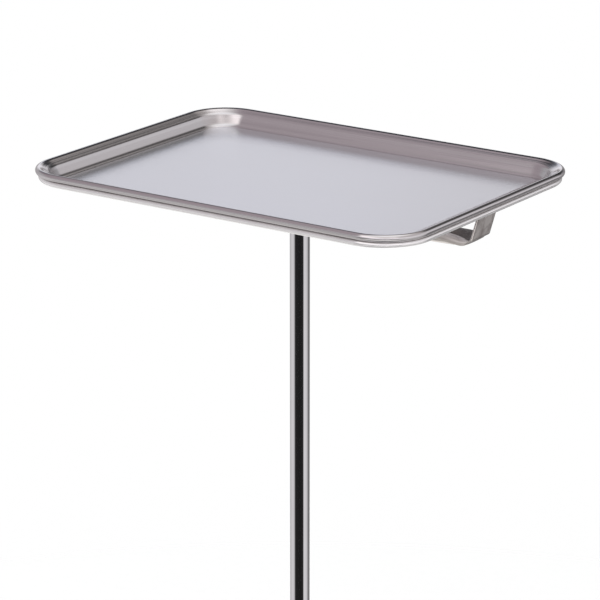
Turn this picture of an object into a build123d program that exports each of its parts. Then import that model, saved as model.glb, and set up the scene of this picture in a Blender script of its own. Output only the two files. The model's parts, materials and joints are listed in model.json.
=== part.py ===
from build123d import *
import os
from math import sin, cos, tan, atan, sqrt, radians, pi

os.makedirs("parts", exist_ok=True)

# Instrument stand: a lift-off tray on a sliding post, over an H-shaped base with four casters.
# Millimetres, +Z up. The origin is on the column axis at floor level. The tray's long side
# runs along X. The front is -Y, and the lock knob points that way.

# ---- heights ----
RIM_Z = 1210.0          # plane through the centre of the tray's rim bead, at rest
COLUMN_TOP = 636.0      # top end of the fixed outer column
POST_BOTTOM = 503.0     # lower end of the sliding post, at rest

# ---- fits ----
GAP = 0.02              # between faces that meet
PLUG_FIT = 0.03         # radial clearance of a fixed plug or socket
RUN = 0.05              # radial running clearance

# ---- post and column, which several sections share ----
POST_R = 12.0
COLUMN_R = 16.0
TUBE_WALL = 1.5         # wall of the post, the column and the cross arm
POST_BORE = POST_R - TUBE_WALL
COLUMN_BORE = COLUMN_R - TUBE_WALL

# ---- base tubes, which several sections share ----
TUBE_Z0 = 70.0          # underside of the base tubes
TUBE_H = 25.0
TUBE_T = 2.0
TUBE_CORNER = 3.5       # outside corner radius
TUBE_TOP = TUBE_Z0 + TUBE_H
TUBE_MID = TUBE_Z0 + TUBE_H / 2
CROSS_W = 50.0
FLANGE_TOP = TUBE_TOP + 6.0


# ---------------------------------------------------------------------------
# Helpers
# ---------------------------------------------------------------------------
def save(name, shape):
    if isinstance(shape, list):
        shape = Compound(children=shape)
    export_step(shape, f"parts/{name}.step")


def cyl_z(radius, z0, z1, x=0.0, y=0.0):
    return Pos(x, y, (z0 + z1) / 2) * Cylinder(radius, z1 - z0)


def cyl_y(radius, y0, y1, x=0.0, z=0.0):
    return Pos(x, (y0 + y1) / 2, z) * Rot(90, 0, 0) * Cylinder(radius, y1 - y0)


def cyl_x(radius, x0, x1, z):
    return Pos((x0 + x1) / 2, 0, z) * Rot(0, 90, 0) * Cylinder(radius, x1 - x0)


def ring(outer_r, inner_r, z0, z1):
    return cyl_z(outer_r, z0, z1) - cyl_z(inner_r, z0 - 1, z1 + 1)


def hexagon(across_flats, z0, z1, x=0.0, y=0.0, turn=0.0):
    corner_r = across_flats / sqrt(3)
    angles = [radians(60 * i + turn) for i in range(6)]
    corners = [(corner_r * cos(a), corner_r * sin(a)) for a in angles]
    return Pos(x, y, z0) * extrude(make_face(Polyline(*corners, close=True)), z1 - z0)


def path(start, *steps):
    """Wire from start. A point adds a line, a (middle, end) pair of points adds an arc."""
    edges = []
    for step in steps:
        if isinstance(step[0], tuple):
            edges.append(ThreePointArc(start, *step))
            start = step[1]
        else:
            edges.append(Line(start, step))
            start = step
    return Wire(edges)


def rounded_loop(half_x, half_y, radius, z):
    """Closed rounded-rectangle path, starting at (half_x, 0) and heading +Y."""
    end_x, end_y = half_x - radius, half_y - radius         # ends of the straight sides
    inset = radius * (1 - cos(radians(45)))
    mid_x, mid_y = half_x - inset, half_y - inset           # middles of the corner arcs
    return path(
        (half_x, 0, z),
        (half_x, end_y, z),
        ((mid_x, mid_y, z), (end_x, half_y, z)),
        (-end_x, half_y, z),
        ((-mid_x, mid_y, z), (-half_x, end_y, z)),
        (-half_x, -end_y, z),
        ((-mid_x, -mid_y, z), (-end_x, -half_y, z)),
        (end_x, -half_y, z),
        ((mid_x, -mid_y, z), (half_x, -end_y, z)),
        (half_x, 0, z),
    )


def polar_xz(centre, radius, angle):
    return (
        centre[0] + radius * cos(radians(angle)),
        0.0,
        centre[1] + radius * sin(radians(angle)),
    )


# ---------------------------------------------------------------------------
# Tray: one pressed sheet with a floor, leaning wall, flared lip and curled rim
# ---------------------------------------------------------------------------
TRAY_HX = 265.75        # half length, to the rim bead's centre
TRAY_HY = 195.6         # half width, to the rim bead's centre
TRAY_R = 53.9           # corner radius of the rim bead's centre line
BEAD_R = 4.25           # outside radius of the curled rim
SHEET = 0.9             # sheet thickness
TRAY_FLOOR_Z = RIM_Z - 15.3  # top of the floor
WALL_LEAN = 30.0        # outward lean of the wall from upright, degrees
FLOOR_FILLET = 8.6      # inside radius between floor and wall
FLOOR_OVERLAP = 4.0     # flat floor included in the swept section
LIP_FALL = 22.0         # slope of the flared lip between rim and wall, degrees
SHOULDER_INSET = 12.5   # where lip and wall would meet, inward from the bead's centre
SHOULDER_Z = -0.47      # height of that meeting, from the bead's centre plane
SHOULDER_R = 6.0        # radius of that bend, on the inside skin
CURL_END = -170.0       # angle where the curl ends, degrees


def instrument_tray():
    # directions and unit vectors of the inward normals of wall and lip
    wall_angle, lip_angle = 180 - WALL_LEAN, 90 + LIP_FALL
    wall_x, wall_z = cos(radians(wall_angle)), sin(radians(wall_angle))
    lip_x, lip_z = cos(radians(lip_angle)), sin(radians(lip_angle))
    meet_x, meet_z = TRAY_HX - SHOULDER_INSET, RIM_Z + SHOULDER_Z
    reach = SHOULDER_R / (1 + wall_x * lip_x + wall_z * lip_z)

    bead = (TRAY_HX, RIM_Z)
    shoulder = (meet_x - reach * (wall_x + lip_x), meet_z - reach * (wall_z + lip_z))
    wall_foot_x = meet_x - (meet_z - TRAY_FLOOR_Z) * tan(radians(WALL_LEAN))
    floor_bend = (
        wall_foot_x - FLOOR_FILLET * tan(radians(45 - WALL_LEAN / 2)),
        TRAY_FLOOR_Z + FLOOR_FILLET,
    )
    slab_x = floor_bend[0] - FLOOR_OVERLAP
    bends = [  # centre, radius, start angle, end angle: out along one skin, back on the other
        (floor_bend, FLOOR_FILLET, -90, -WALL_LEAN),
        (shoulder, SHOULDER_R, wall_angle, lip_angle),
        (bead, BEAD_R, lip_angle, CURL_END),
        (bead, BEAD_R - SHEET, CURL_END, lip_angle),
        (shoulder, SHOULDER_R - SHEET, lip_angle, wall_angle),
        (floor_bend, FLOOR_FILLET + SHEET, -WALL_LEAN, -90),
    ]
    start = (slab_x, 0, TRAY_FLOOR_Z)
    steps = []
    for centre, radius, angle0, angle1 in bends:
        middle = polar_xz(centre, radius, (angle0 + angle1) / 2)
        steps.append(polar_xz(centre, radius, angle0))
        steps.append((middle, polar_xz(centre, radius, angle1)))
    section = Face(path(start, *steps, (slab_x, 0, TRAY_FLOOR_Z - SHEET), start))
    rim = sweep(section, path=rounded_loop(TRAY_HX, TRAY_HY, TRAY_R, RIM_Z))

    inset = TRAY_HX - slab_x
    slab = RectangleRounded(2 * slab_x, 2 * (TRAY_HY - inset), TRAY_R - inset)
    return rim + Pos(0, 0, TRAY_FLOOR_Z - SHEET) * extrude(slab, SHEET)


save("instrument_tray", instrument_tray())

# ---------------------------------------------------------------------------
# Rod loop under the rim: one bent rod, closed by a butt weld
# ---------------------------------------------------------------------------
LOOP_HX = 264.95
LOOP_HY = 194.8
LOOP_R = 58.4
ROD_R = 3.6
LOOP_Z = RIM_Z - 7.9    # centre of the rod

rod_section = Pos(LOOP_HX, 0, LOOP_Z) * Rot(90, 0, 0) * Circle(ROD_R)
save("tray_frame_loop", sweep(rod_section, path=rounded_loop(LOOP_HX, LOOP_HY, LOOP_R, LOOP_Z)))

# ---------------------------------------------------------------------------
# Cross arm: round tube in the middle, pressed flat at both ends and bent up.
# Its heights are from the rim bead's centre plane.
# ---------------------------------------------------------------------------
ARM_R = 12.0
ARM_Z = -44.5           # axis of the round part
ARM_ROUND_HL = 188.0    # half length of the round part
STRAP_X = 246.0         # where the fully flat strap starts
STRAP_T = 3.0           # thickness of the strap
STRAP_HW = 20.2         # half width of the strap
STRAP_Z = -42.4         # middle of the strap before the bend
LEG_SLOPE = 0.295       # outward lean of the bent-up end
LEG_X = 260.22          # outer face of the bent-up end, at LEG_X_Z
LEG_X_Z = -11.0
LEG_TOP = -5.8
BEND_R = 4.0            # bend radius at mid thickness
ARM_STATIONS = [  # x, half width, top, bottom, mid, flatness
    (ARM_ROUND_HL, ARM_R, ARM_Z + ARM_R, ARM_Z - ARM_R, ARM_Z, 0.00),
    (200.0, 12.3, -33.2, -56.2, -44.4, 0.06),
    (212.0, 13.4, -34.9, -55.6, -44.1, 0.22),
    (223.0, 15.3, -37.1, -54.4, -43.7, 0.45),
    (232.0, 17.2, -39.0, -52.8, -43.3, 0.68),
    (239.0, 18.8, -40.2, -50.3, -42.8, 0.86),
    (243.5, 19.8, -40.8, -47.4, -42.5, 0.96),
    (STRAP_X, STRAP_HW, STRAP_Z + STRAP_T / 2, STRAP_Z - STRAP_T / 2, STRAP_Z, 1.00),
]
HOLLOW_STATIONS = 5     # the bore runs through this many stations
HEAD_HOLE_R = 4.2       # upright bolt hole through arm, saddle and washer

ARM_AXIS_Z = RIM_Z + ARM_Z
head_hole = cyl_z(HEAD_HOLE_R, RIM_Z - 80, RIM_Z - 20)


def arm_face(x, half_width, top, bottom, mid, flatness, inset=0.0):
    """Section across the arm at x. flatness goes from 0 (round) to 1 (flat strap)."""
    half_width, top, bottom = half_width - inset, top - inset, bottom + inset
    rise, drop = top - mid, mid - bottom
    round_y = sqrt(3) / 2 * half_width
    flat_y = half_width - STRAP_T / 2 * 0.9
    corner_y = (1 - flatness) * round_y + flatness * flat_y
    corner_share = (1 - flatness) * 0.5 + flatness * 0.97
    corner_up, corner_down = rise * corner_share, drop * corner_share

    def point(y, z):
        return (x, y, RIM_Z + mid + z)

    return Face(
        path(
            point(-corner_y, corner_up),
            (point(0, rise), point(corner_y, corner_up)),
            (point(half_width, 0), point(corner_y, -corner_down)),
            (point(0, -drop), point(-corner_y, -corner_down)),
            (point(-half_width, 0), point(-corner_y, corner_up)),
        )
    )


def bent_strap():
    lean = atan(LEG_SLOPE)

    def leg_mid_x(z):
        return LEG_X - STRAP_T / 2 / cos(lean) + LEG_SLOPE * (z - LEG_X_Z)

    corner_x, corner_z = leg_mid_x(STRAP_Z), RIM_Z + STRAP_Z
    turn = pi / 2 - lean
    tangent = BEND_R * tan(turn / 2)
    bend_x = corner_x - tangent
    bend_middle = (
        bend_x + BEND_R * sin(turn / 2), 0, corner_z + BEND_R - BEND_R * cos(turn / 2)
    )
    bend_end = (corner_x + tangent * sin(lean), 0, corner_z + tangent * cos(lean))
    centre_line = path(
        (STRAP_X, 0, corner_z),
        (bend_x, 0, corner_z),
        (bend_middle, bend_end),
        (leg_mid_x(LEG_TOP), 0, RIM_Z + LEG_TOP),
    )
    return sweep(arm_face(*ARM_STATIONS[-1]), path=centre_line)


def cross_arm():
    end = loft([arm_face(*s) for s in ARM_STATIONS])
    void = loft([arm_face(*s, inset=TUBE_WALL) for s in ARM_STATIONS[:HOLLOW_STATIONS]])
    end = end + bent_strap()
    arm = cyl_x(ARM_R, -ARM_ROUND_HL, ARM_ROUND_HL, ARM_AXIS_Z)
    arm = arm + end + Rot(0, 0, 180) * end
    arm = arm - cyl_x(ARM_R - TUBE_WALL, -ARM_ROUND_HL, ARM_ROUND_HL, ARM_AXIS_Z)
    arm = arm - void - Rot(0, 0, 180) * void
    return arm - head_hole


save("cross_arm", cross_arm())

# Two round-ended weld runs in the notches between the bent-up straps and the rod
WELD_R = 1.45
WELD_HL = 15.5
WELD_X = 261.55
WELD_Z = RIM_Z - 11.35


def weld(x):
    bead = cyl_y(WELD_R, -WELD_HL, WELD_HL, x, WELD_Z)
    for y in (-WELD_HL, WELD_HL):
        bead = bead + Pos(x, y, WELD_Z) * Sphere(WELD_R)
    return bead


save("frame_welds", [weld(WELD_X), weld(-WELD_X)])

# ---------------------------------------------------------------------------
# Joint between arm and post: saddle, shaped washer, bolt and plug in the post
# ---------------------------------------------------------------------------
SADDLE_R = 15.0
SADDLE_BOTTOM = RIM_Z - 75
SADDLE_TOP = RIM_Z - 49
POST_SOCKET_TOP = RIM_Z - 68
POST_TOP = POST_SOCKET_TOP - 0.05
WASHER_R = 9.0
WASHER_BOTTOM = RIM_Z - 36.5
WASHER_TOP = RIM_Z - 29.5
HEAD_BOLT_R = 3.95
HEAD_SEAT = WASHER_TOP + GAP

arm_seat = cyl_x(ARM_R + GAP, -40, 40, ARM_AXIS_Z)

saddle = cyl_z(SADDLE_R, SADDLE_BOTTOM, SADDLE_TOP)
saddle = fillet(saddle.edges().group_by(Axis.Z)[0], 1.2)
post_socket = cyl_z(POST_R + PLUG_FIT, SADDLE_BOTTOM - 5, POST_SOCKET_TOP)
save("arm_saddle", saddle - arm_seat - head_hole - post_socket)

save("saddle_washer", cyl_z(WASHER_R, WASHER_BOTTOM, WASHER_TOP) - arm_seat - head_hole)

bolt_head = cyl_z(7.5, HEAD_SEAT, RIM_Z - 24.8)
bolt_head = fillet(bolt_head.edges().group_by(Axis.Z)[-1], 2.6)
bolt_head = bolt_head - hexagon(5.0, RIM_Z - 27.6, RIM_Z - 20)
save("head_bolt", bolt_head + cyl_z(HEAD_BOLT_R, RIM_Z - 90, HEAD_SEAT))

save("post_top_plug", ring(POST_BORE - PLUG_FIT, 4.0, RIM_Z - 94, POST_TOP))

# ---------------------------------------------------------------------------
# Sliding post with its lower guide bush, retaining ring and end plug
# ---------------------------------------------------------------------------
GROOVE_Z0 = POST_BOTTOM + 30.6
GROOVE_Z1 = POST_BOTTOM + 32.2
GROOVE_DEPTH = 0.4
RING_SIDE_GAP = 0.05

post = ring(POST_R, POST_BORE, POST_BOTTOM, POST_TOP)
save("inner_post", post - ring(POST_R + 1, POST_R - GROOVE_DEPTH, GROOVE_Z0, GROOVE_Z1))

retainer = ring(
    POST_R + 1.6,
    POST_R - GROOVE_DEPTH + PLUG_FIT,
    GROOVE_Z0 + RING_SIDE_GAP,
    GROOVE_Z1 - RING_SIDE_GAP,
)
ring_opening = Pos(0, POST_R, (GROOVE_Z0 + GROOVE_Z1) / 2) * Box(5, 8, 4)
save("post_retaining_ring", retainer - ring_opening)

guide = ring(COLUMN_BORE - RUN, POST_R + RUN, POST_BOTTOM + 0.6, POST_BOTTOM + 30.0)
save("post_guide_bush", guide)

end_plug = cyl_z(13.6, POST_BOTTOM - 4, POST_BOTTOM - GAP)
end_plug = chamfer(end_plug.edges().group_by(Axis.Z)[0], 1.2)
end_plug = end_plug + cyl_z(POST_BORE - PLUG_FIT, POST_BOTTOM - GAP, POST_BOTTOM + 18)
save("post_end_plug", end_plug)

# ---------------------------------------------------------------------------
# Fixed column, its top bush, collar and height lock on the -Y side
# ---------------------------------------------------------------------------
LOCK_Z = COLUMN_TOP - 20
PAD_R = 4.0
PAD_BACK = -16.5
THREAD_R = 5.0
LOCK_BOSS_R = 10.5      # boss on the collar, and the neck of the knob
COLLAR_R = 23.0
SET_SCREW_R = 2.5
SET_SCREW_Z = COLUMN_TOP - 30
SET_SCREW_OUT = 22.4    # outer end, from the column axis
SET_SCREW_ANGLES = (50.0, 130.0)

column = ring(COLUMN_R, COLUMN_BORE, FLANGE_TOP + GAP, COLUMN_TOP)
save("outer_column", column - cyl_y(PAD_R + 0.25, -20, 0, 0, LOCK_Z))


def collar_bush():
    insert_r = COLUMN_BORE - PLUG_FIT
    bush = cyl_z(insert_r, COLUMN_TOP - 40, COLUMN_TOP)
    bush = bush + cyl_z(COLUMN_R - 0.05, COLUMN_TOP + GAP, COLUMN_TOP + 3.0)
    bush = bush + cyl_z(insert_r, COLUMN_TOP - 1, COLUMN_TOP + 1)   # joins insert and head
    bush = bush - cyl_z(POST_R + RUN, COLUMN_TOP - 70, COLUMN_TOP + 10)
    return bush - cyl_y(PAD_R + 0.07, -20, 0, 0, LOCK_Z)


save("collar_bush", collar_bush())


def column_collar():
    collar = cyl_z(COLLAR_R, COLUMN_TOP - 42, COLUMN_TOP + 6)
    collar = fillet(collar.edges().group_by(Axis.Z)[-1], 3.0)
    collar = chamfer(collar.edges().group_by(Axis.Z)[0], 1.5)
    collar = collar + cyl_y(LOCK_BOSS_R, -32.0, -15.0, 0, LOCK_Z)
    # The fillet where boss meets collar may fail; the seam then stays sharp.
    try:
        seam_types = (GeomType.BSPLINE, GeomType.OTHER)
        collar = fillet([e for e in collar.edges() if e.geom_type in seam_types], 2.0)
    except Exception:
        pass
    collar = collar - cyl_z(COLUMN_R + PLUG_FIT, COLUMN_TOP - 50, COLUMN_TOP + 3.03)
    collar = collar - cyl_z(POST_R + 0.5, COLUMN_TOP, COLUMN_TOP + 10)
    collar = collar - cyl_y(THREAD_R + 0.03, -40, -10, 0, LOCK_Z)
    for angle in SET_SCREW_ANGLES:
        collar = collar - Rot(0, 0, angle) * cyl_x(SET_SCREW_R, 14.0, 30.0, SET_SCREW_Z)
    return collar


save("column_collar", column_collar())


def set_screw(angle):
    body = cyl_x(SET_SCREW_R - 0.05, COLUMN_R + 0.05, SET_SCREW_OUT, SET_SCREW_Z)
    socket = Pos(SET_SCREW_OUT, 0, SET_SCREW_Z) * Rot(0, -90, 0) * hexagon(2.5, 0, 2.2)
    return Rot(0, 0, angle) * (body - socket)


save("collar_set_screws", [set_screw(angle) for angle in SET_SCREW_ANGLES])

save("pressure_pad", cyl_y(PAD_R, PAD_BACK, -(POST_R + 0.06), 0, LOCK_Z))

lock_screw = cyl_y(THREAD_R - 0.03, -50.0, PAD_BACK - GAP, 0, LOCK_Z)
save("lock_screw", chamfer(lock_screw.edges().group_by(Axis.Y)[-1], 0.7))

KNOB_Y = -34.5          # inner end of the knob's neck
KNOB_NECK = 5.0
KNOB_T = 17.0           # thickness of the lobed head
KNOB_CORE_R = 16.5
KNOB_LOBES = 5
LOBE_PITCH_R = 15.5
LOBE_R = 7.0


def lock_knob():
    profile = Circle(KNOB_CORE_R)
    for i in range(KNOB_LOBES):
        angle = radians(90 + 360 / KNOB_LOBES * i)
        lobe_place = Pos(LOBE_PITCH_R * cos(angle), LOBE_PITCH_R * sin(angle))
        profile = profile + lobe_place * Circle(LOBE_R)
    profile = fillet(profile.vertices(), 4.0)
    knob = extrude(profile, KNOB_T)
    knob = fillet(knob.edges().group_by(Axis.Z)[-1], 2.5)
    knob = fillet(knob.edges().group_by(Axis.Z)[0], 1.2)
    knob = knob + cyl_z(LOCK_BOSS_R, -KNOB_NECK, 0.5)
    knob = knob - cyl_z(THREAD_R, -KNOB_NECK - 1, 11.0)
    knob = knob - cyl_z(7.0, KNOB_T - 0.6, KNOB_T + 1)
    # lay the knob on the screw axis: local +Z becomes -Y
    return Pos(0, KNOB_Y - KNOB_NECK, LOCK_Z) * Rot(90, 0, 0) * knob


save("lock_knob", lock_knob())

# ---------------------------------------------------------------------------
# Column foot: flange on the cross tube, plug in the column, bolt from below, buffer
# ---------------------------------------------------------------------------
FLANGE_R = 35.0         # trimmed to the cross tube's width
FLANGE_BOSS_R = 22.0
FLANGE_BOSS_H = 34.0
BOTTOM_PLUG_TOP = FLANGE_TOP + 24
COLUMN_BOLT_HOLE_R = 6.4
BOLT_WASHER_BOTTOM = TUBE_Z0 - 2.5


def column_flange():
    flange = cyl_z(FLANGE_R, TUBE_TOP + 0.01, FLANGE_TOP)
    flange = flange & (Pos(0, 0, (TUBE_TOP + FLANGE_TOP) / 2) * Box(100, CROSS_W, 40))
    boss = cyl_z(FLANGE_BOSS_R, FLANGE_TOP - 1, FLANGE_TOP + FLANGE_BOSS_H)
    flange = flange + fillet(boss.edges().group_by(Axis.Z)[-1], 2.0)
    flange = flange - cyl_z(COLUMN_R + PLUG_FIT, FLANGE_TOP, FLANGE_TOP + 60)
    return flange - cyl_z(COLUMN_BOLT_HOLE_R, 60, 200)


save("column_flange", column_flange())

bottom_plug = ring(COLUMN_BORE - PLUG_FIT, 6.0, FLANGE_TOP + GAP, BOTTOM_PLUG_TOP)
save("column_bottom_plug", bottom_plug)

bolt = hexagon(18.0, TUBE_Z0 - 10.5, BOLT_WASHER_BOTTOM - GAP)
bolt = bolt & cyl_z(10.2, TUBE_Z0 - 11, TUBE_Z0)    # rounds off the hexagon's corners
save("column_bolt", bolt + cyl_z(5.95, TUBE_Z0 - 2.6, FLANGE_TOP + 20))

save("column_washer", ring(14.0, 6.3, BOLT_WASHER_BOTTOM, TUBE_Z0 - GAP))
save("column_stop_buffer", ring(13.5, 4.0, BOTTOM_PLUG_TOP + GAP, FLANGE_TOP + 31))

# ---------------------------------------------------------------------------
# Base: cross tube between two foot tubes, with end caps
# ---------------------------------------------------------------------------
FOOT_X = 215.0          # centre of each foot tube
FOOT_W = 30.0
FOOT_HL = 195.0         # half length of each foot tube
CASTER_Y = 175.0
CAP_T = 4.5
CAP_DEPTH = 10.0        # how far the cap's plug goes into the tube


def rect_tube(width, length):
    """Rounded rectangular tube along +Y from y=0, centred on the Y axis."""
    outer = extrude(RectangleRounded(width, TUBE_H, TUBE_CORNER), length)
    bore = RectangleRounded(width - 2 * TUBE_T, TUBE_H - 2 * TUBE_T, TUBE_CORNER - TUBE_T)
    return Rot(90, 0, 0) * Pos(0, 0, -length) * (outer - extrude(bore, length))


cross_hl = FOOT_X - FOOT_W / 2 - 0.01
cross_tube = Pos(cross_hl, 0, TUBE_MID) * Rot(0, 0, 90) * rect_tube(CROSS_W, 2 * cross_hl)
save("base_cross_tube", cross_tube - cyl_z(COLUMN_BOLT_HOLE_R, 40, 120))

for name, x in (("left", -FOOT_X), ("right", FOOT_X)):
    foot = Pos(x, -FOOT_HL, TUBE_MID) * rect_tube(FOOT_W, 2 * FOOT_HL)
    for y in (-CASTER_Y, CASTER_Y):
        foot = foot - cyl_z(5.4, TUBE_Z0 - 5, TUBE_Z0 + 5, x, y)
    save(f"foot_tube_{name}", foot)


def end_cap(x, side):
    """Cap on the foot tube at x; side is -1 for the -Y end and 1 for the +Y end."""
    plate = extrude(RectangleRounded(FOOT_W, TUBE_H, TUBE_CORNER), CAP_T)
    plate = fillet(plate.edges().group_by(Axis.Z)[-1], 2.0)
    bore_loss = 2 * TUBE_T + 0.1
    plug = extrude(RectangleRounded(FOOT_W - bore_loss, TUBE_H - bore_loss, 1.4), CAP_DEPTH + 0.01)
    cap = Rot(90, 0, 0) * (plate + Pos(0, 0, -CAP_DEPTH) * plug)    # local +Z to -Y
    if side > 0:
        cap = Rot(0, 0, 180) * cap
    return Pos(x, side * (FOOT_HL + 0.01), TUBE_MID) * cap


save("foot_end_caps", [end_cap(x, side) for x in (-FOOT_X, FOOT_X) for side in (-1, 1)])

# ---------------------------------------------------------------------------
# Casters, modelled with the swivel axis on Z and the wheel trailing along +X
# ---------------------------------------------------------------------------
CASTERS = [  # name, x, y, direction the wheel trails in degrees, has a brake
    ("fl", -FOOT_X, -CASTER_Y, 250.0, True),
    ("fr", FOOT_X, -CASTER_Y, 205.0, False),
    ("rr", FOOT_X, CASTER_Y, 70.0, True),
    ("rl", -FOOT_X, CASTER_Y, 25.0, False),
]
WHEEL_R = 25.0
TRAIL = 20.0            # from the swivel axis to the axle
STEM_R = 4.95
STEM_AF = 17.0          # across flats of the stem's hexagon and its nut
PLATE_IN = 11.2         # inner and outer faces of the yoke's side plates
PLATE_OUT = 13.2
YOKE_BACK = -15.0
YOKE_TOP = 60.0
YOKE_TOP_T = 3.0
AXLE_R = 3.96
AXLE_HOLE_R = 4.02
HUB_R = 17.0
BRAKE_X, BRAKE_Z = 27.5, 55.5   # pivot of the brake lever
BRAKE_PIN_R = 1.7
HUB_OUTLINE = [  # radius, distance along the axle: the first half, mirrored for the rest
    (AXLE_HOLE_R, -10.8), (7.5, -10.8), (7.5, -8.2), (14.0, -6.2), (14.6, -8.4), (HUB_R, -8.4),
]
LEVER_OUTLINE = [  # x, z from the pivot
    (-1.0, 3.2), (12, 4.2), (27, -2.0), (26, -4.4), (13, 0.6), (7.5, -1.6), (-1.0, -3.0),
]

wheel_place = Pos(TRAIL, 0, WHEEL_R) * Rot(90, 0, 0)    # local Z onto the axle


def caster_nut(x, y):
    nut = hexagon(STEM_AF, TUBE_Z0 + TUBE_T + 0.01, TUBE_Z0 + 14, x, y)
    return nut - cyl_z(5.0, 60, 100, x, y)


def caster_stem(x, y):
    stem = cyl_z(STEM_R, 54.0, TUBE_Z0 + 17, x, y)
    stem = stem + hexagon(STEM_AF, 64.6, TUBE_Z0 - 0.01, x, y, 30)
    return stem + cyl_z(7.5, 52.4, 55.3, x, y)


def yoke(brake):
    nose = 33.0 if brake else 27.0
    nose_low = 33.0 if brake else 28.0
    side = make_face(
        path(
            (YOKE_BACK, 0, YOKE_TOP),
            (nose, 0, YOKE_TOP),
            (nose_low, 0, 52),
            (28.6, 0, 27),
            ((TRAIL + 2.2, 0, 16.5), (11.7, 0, 22.5)),
            (YOKE_BACK, 0, 52),
            (YOKE_BACK, 0, YOKE_TOP),
        )
    )
    plate = extrude(side, PLATE_OUT - PLATE_IN, dir=(0, 1, 0))
    plates = Pos(0, PLATE_IN, 0) * plate + Pos(0, -PLATE_OUT, 0) * plate
    top_mid = YOKE_TOP - YOKE_TOP_T / 2
    top = Pos((nose + YOKE_BACK) / 2, 0, top_mid) * Box(
        nose - YOKE_BACK, 2 * PLATE_OUT, YOKE_TOP_T
    )
    if brake:
        top = top - Pos(nose - 4, 0, top_mid) * Box(22, 2 * PLATE_IN, 5)
    body = plates + top
    shoulders = [
        e
        for e in body.edges().filter_by(Axis.X)
        if abs(e.center().Z - YOKE_TOP) < 0.1 and abs(abs(e.center().Y) - PLATE_OUT) < 0.1
    ]
    body = fillet(shoulders, 2.0)
    body = fillet(body.edges().filter_by(Axis.Z).sort_by(Axis.X)[0:2], 1.8)
    housing = cyl_z(14.0, YOKE_TOP, 64.3)
    housing = fillet(housing.edges().group_by(Axis.Z)[-1], 2.0)
    body = body + housing - cyl_z(STEM_R + 0.06, 40, 80)
    body = body - cyl_y(AXLE_HOLE_R, -20, 20, TRAIL, WHEEL_R)
    if brake:
        body = body - cyl_y(BRAKE_PIN_R + 0.05, -20, 20, BRAKE_X, BRAKE_Z)
    return body


def wheel_hub():
    points = [(r, 0, z) for r, z in HUB_OUTLINE]
    points += [(r, 0, -z) for r, z in reversed(HUB_OUTLINE)]
    return wheel_place * revolve(make_face(Polyline(*points, close=True)), Axis.Z, 360)


def tyre():
    seat_r = HUB_R + GAP
    outline = path(
        (seat_r, 0, -8.3),
        (21.5, 0, -8.9),
        ((24.1, 0, -7.2), (24.9, 0, -4.0)),
        ((WHEEL_R, 0, 0), (24.9, 0, 4.0)),
        ((24.1, 0, 7.2), (21.5, 0, 8.9)),
        (seat_r, 0, 8.3),
        (seat_r, 0, -8.3),
    )
    return wheel_place * revolve(make_face(outline), Axis.Z, 360)


def axle():
    seat, nut_end = PLATE_OUT + GAP, 17.2
    shaft = cyl_y(AXLE_R, -PLATE_OUT, 15.5, TRAIL, WHEEL_R)
    head = cyl_y(6.4, -16.4, -seat, TRAIL, WHEEL_R)
    head = fillet(head.edges().group_by(Axis.Y)[0], 1.5)
    # the short cylinder joins head and shaft
    shaft = shaft + head + cyl_y(AXLE_R, -14, -13, TRAIL, WHEEL_R)
    nut = Pos(TRAIL, nut_end, WHEEL_R) * Rot(90, 0, 0) * hexagon(11.0, 0, nut_end - seat)
    return shaft + nut


def brake_lever():
    """Pivot barrel and bent web, with a wider pedal towards the far end."""
    barrel = cyl_y(3.6, -10.6, 10.6, BRAKE_X, BRAKE_Z)
    points = [(BRAKE_X + x, 0, BRAKE_Z + z) for x, z in LEVER_OUTLINE]
    side = make_face(path(*points, points[0]))
    web = Pos(0, -8.5, 0) * extrude(side, 17.0, dir=(0, 1, 0))
    pedal = Pos(BRAKE_X + 21.5, 0, BRAKE_Z + 0.4) * Rot(0, 22.5, 0) * Box(14, 30, 3.2)
    pedal = fillet(pedal.edges().filter_by(lambda e: e.length < 4), 2.8)
    return barrel + web + pedal - cyl_y(BRAKE_PIN_R + 0.08, -20, 20, BRAKE_X, BRAKE_Z)


save("caster_nuts", [caster_nut(x, y) for _, x, y, _, _ in CASTERS])
save("caster_stems", [caster_stem(x, y) for _, x, y, _, _ in CASTERS])

for name, x, y, angle, brake in CASTERS:
    place = Pos(x, y, 0) * Rot(0, 0, angle)
    save(f"caster_{name}_yoke", place * yoke(brake))
    save(f"caster_{name}_wheel_hub", place * wheel_hub())
    save(f"caster_{name}_tyre", place * tyre())
    save(f"caster_{name}_axle", place * axle())
    if brake:
        pin = cyl_y(BRAKE_PIN_R, -14.0, 14.0, BRAKE_X, BRAKE_Z)
        save(f"caster_{name}_brake_lever", place * brake_lever())
        save(f"caster_{name}_brake_pin", place * pin)
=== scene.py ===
# Instrument stand: a pressed tray held in a rod loop, on a cross arm, a post and a column.
# Metres, +Z up, floor at z = 0. The post and column stand on the Z axis and the arm runs along X.
# The tray, loop, arm, post and column are modelled here; the other pieces keep their CAD shapes.
import json
import math

import bmesh
import bpy
import numpy as np
from mathutils import Matrix, Vector

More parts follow.
